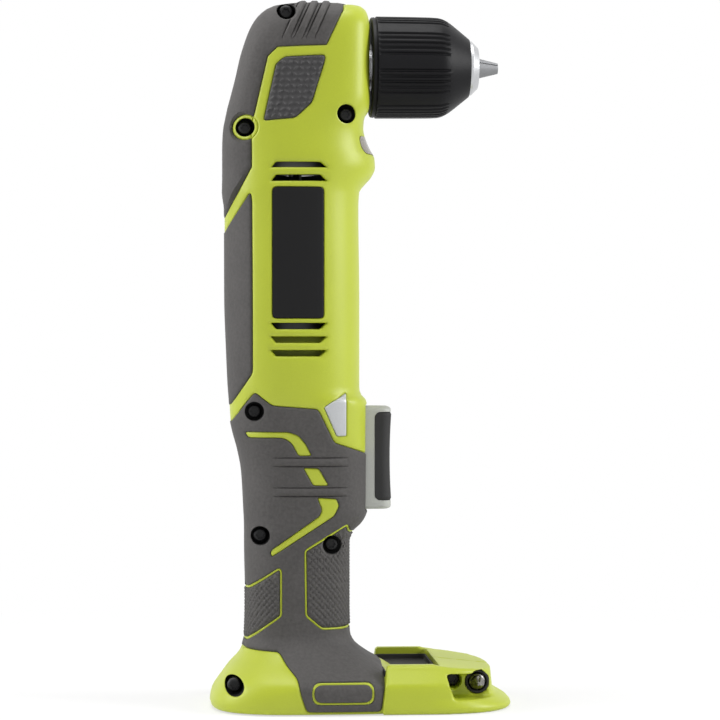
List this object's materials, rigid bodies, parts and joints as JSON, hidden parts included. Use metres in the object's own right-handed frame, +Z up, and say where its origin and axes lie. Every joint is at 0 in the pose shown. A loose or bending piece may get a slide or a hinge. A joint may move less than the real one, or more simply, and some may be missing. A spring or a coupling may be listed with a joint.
{
  "type": "right angle drill",
  "caption": "Cordless right-angle drill without its battery: upright motor barrel and grip, foot for a slide-up battery, and a keyless chuck square to the head.",
  "frame": {"origin": "on the floor under the middle of the foot", "axes": "+X towards the chuck's jaws, +Y across the tool, +Z up along the motor barrel"},
  "size_m": [0.126, 0.0804, 0.2933],
  "materials": {
    "housing_green": "fine moulded texture",
    "soft_grey": "soft overmould, fine grain",
    "plate_black": "satin",
    "screw_black": "black oxide",
    "case_alloy": "die cast",
    "gear_steel": "ground and oiled",
    "bearing_steel": "polished",
    "bronze": "sintered",
    "motor_steel": "zinc plated",
    "magnet": "sintered ferrite",
    "copper": "enamelled",
    "carbon": "matt carbon",
    "inner_black": "moulded",
    "terminal_brass": "tinned",
    "lead": "insulated wire",
    "chuck_black": "ribbed, satin",
    "chuck_steel": "machined",
    "trigger_grey": "moulded",
    "trigger_soft": "soft insert",
    "spring_steel": "drawn wire",
    "selector_silver": "silver paint",
    "lens_clear": "clear moulded",
    "board_green": "solder mask",
    "bit_steel": "phosphate grey",
    "grommet_rubber": "matt"
  },
  "bodies": {
    "housing": {"left_housing": "housing_green", "right_housing": "housing_green", "left_grip": "soft_grey", "right_grip": "soft_grey", "head_bumpers": "soft_grey", "head_pads": "soft_grey", "spine_pads": "soft_grey", "side_plates": "plate_black", "housing_screws": "screw_black", "foot_screw": "screw_black", "retainer_screws": "screw_black", "gear_case": "case_alloy", "gear_case_plate": "case_alloy", "ring_gear": "gear_steel", "bearing_retainer": "gear_steel", "spindle_bearing": "bearing_steel", "rear_bush": "bronze", "pinion_bush": "bronze", "motor_bushes": "bronze", "motor_can": "motor_steel", "motor_magnets": "magnet", "motor_brushes": "carbon", "motor_end_cap": "inner_black", "trigger_switch": "inner_black", "terminal_block": "inner_black", "terminal_blades": "terminal_brass", "battery_leads": "lead", "motor_leads": "lead", "light_leads": "lead", "trigger_spring": "spring_steel", "light_lens": "lens_clear", "light_board": "board_green", "bit_grommets": "grommet_rubber"},
    "rotor": {"motor_shaft": "gear_steel", "armature": "motor_steel", "armature_windings": "copper", "commutator": "copper", "cooling_fan": "inner_black", "sun_gear": "gear_steel"},
    "carrier": {"planet_carrier": "gear_steel", "pinion_shaft": "gear_steel", "bevel_pinion": "gear_steel"},
    "planet_1": {"planet_gear_1": "gear_steel"},
    "planet_2": {"planet_gear_2": "gear_steel"},
    "planet_3": {"planet_gear_3": "gear_steel"},
    "spindle": {"spindle": "gear_steel", "spindle_bearing_inner": "bearing_steel", "bevel_gear": "gear_steel", "chuck_body": "chuck_steel", "chuck_rear_cap": "chuck_black", "chuck_screw": "screw_black"},
    "sleeve": {"chuck_sleeve": "chuck_black", "jaw_nut": "chuck_steel"},
    "jaw_1": {"jaw_1": "chuck_steel"},
    "jaw_2": {"jaw_2": "chuck_steel"},
    "jaw_3": {"jaw_3": "chuck_steel"},
    "trigger": {"trigger": "trigger_grey", "trigger_pad": "trigger_soft"},
    "selector": {"direction_selector": "selector_silver"},
    "bit": {"driver_bit": "bit_steel"}
  },
  "joints": [
    {"name": "rotor_spin", "type": "hinge", "parent": "housing", "child": "rotor", "pos_m": [-0.0285, 0, 0.2], "axis": [0, 0, 1], "continuous": true},
    {"name": "carrier_spin", "type": "hinge", "parent": "housing", "child": "carrier", "pos_m": [-0.0285, 0, 0.24], "axis": [0, 0, 1], "continuous": true},
    {"name": "spindle_spin", "type": "hinge", "parent": "housing", "child": "spindle", "pos_m": [0, 0, 0.2664], "axis": [1, 0, 0], "continuous": true},
    {"name": "planet_spin_1", "type": "hinge", "parent": "carrier", "child": "planet_1", "pos_m": [-0.0186, 0, 0.23], "axis": [0, 0, 1], "continuous": true},
    {"name": "planet_spin_2", "type": "hinge", "parent": "carrier", "child": "planet_2", "pos_m": [-0.03345, 0.00857, 0.23], "axis": [0, 0, 1], "continuous": true},
    {"name": "planet_spin_3", "type": "hinge", "parent": "carrier", "child": "planet_3", "pos_m": [-0.03345, -0.00857, 0.23], "axis": [0, 0, 1], "continuous": true},
    {"name": "sleeve_turn", "type": "hinge", "parent": "spindle", "child": "sleeve", "pos_m": [0, 0, 0.2664], "axis": [1, 0, 0], "range_deg": [0, 1800]},
    {"name": "jaw_slide_1", "type": "slide", "parent": "spindle", "child": "jaw_1", "axis": [-0.9659, 0, 0.2588], "range_m": [0, 0.01801]},
    {"name": "jaw_slide_2", "type": "slide", "parent": "spindle", "child": "jaw_2", "axis": [-0.9659, -0.2241, -0.1294], "range_m": [0, 0.01801]},
    {"name": "jaw_slide_3", "type": "slide", "parent": "spindle", "child": "jaw_3", "axis": [-0.9659, 0.2241, -0.1294], "range_m": [0, 0.01801]},
    {"name": "trigger_slide", "type": "slide", "parent": "housing", "child": "trigger", "axis": [-1, 0, 0], "range_m": [0, 0.006], "stiffness_N_per_m": 600, "springref_m": -0.003, "deforming": ["trigger_spring"]},
    {"name": "selector_slide", "type": "slide", "parent": "housing", "child": "selector", "axis": [0, 1, 0], "range_m": [-0.003, 0.003]},
    {"name": "bit_pull", "type": "slide", "parent": "housing", "child": "bit", "axis": [0, -1, 0], "range_m": [0, 0.07]}
  ],
  "couplings": [
    {"joint": "carrier_spin", "follows": "rotor_spin", "ratio": 0.18182},
    {"joint": "spindle_spin", "follows": "rotor_spin", "ratio": 0.060606},
    {"joint": "planet_spin_1", "follows": "rotor_spin", "ratio": -0.46753},
    {"joint": "planet_spin_2", "follows": "rotor_spin", "ratio": -0.46753},
    {"joint": "planet_spin_3", "follows": "rotor_spin", "ratio": -0.46753},
    {"joint": "jaw_slide_1", "follows": "sleeve_turn", "m_per_rad": 0.00057296},
    {"joint": "jaw_slide_2", "follows": "sleeve_turn", "m_per_rad": 0.00057296},
    {"joint": "jaw_slide_3", "follows": "sleeve_turn", "m_per_rad": 0.00057296}
  ]
}
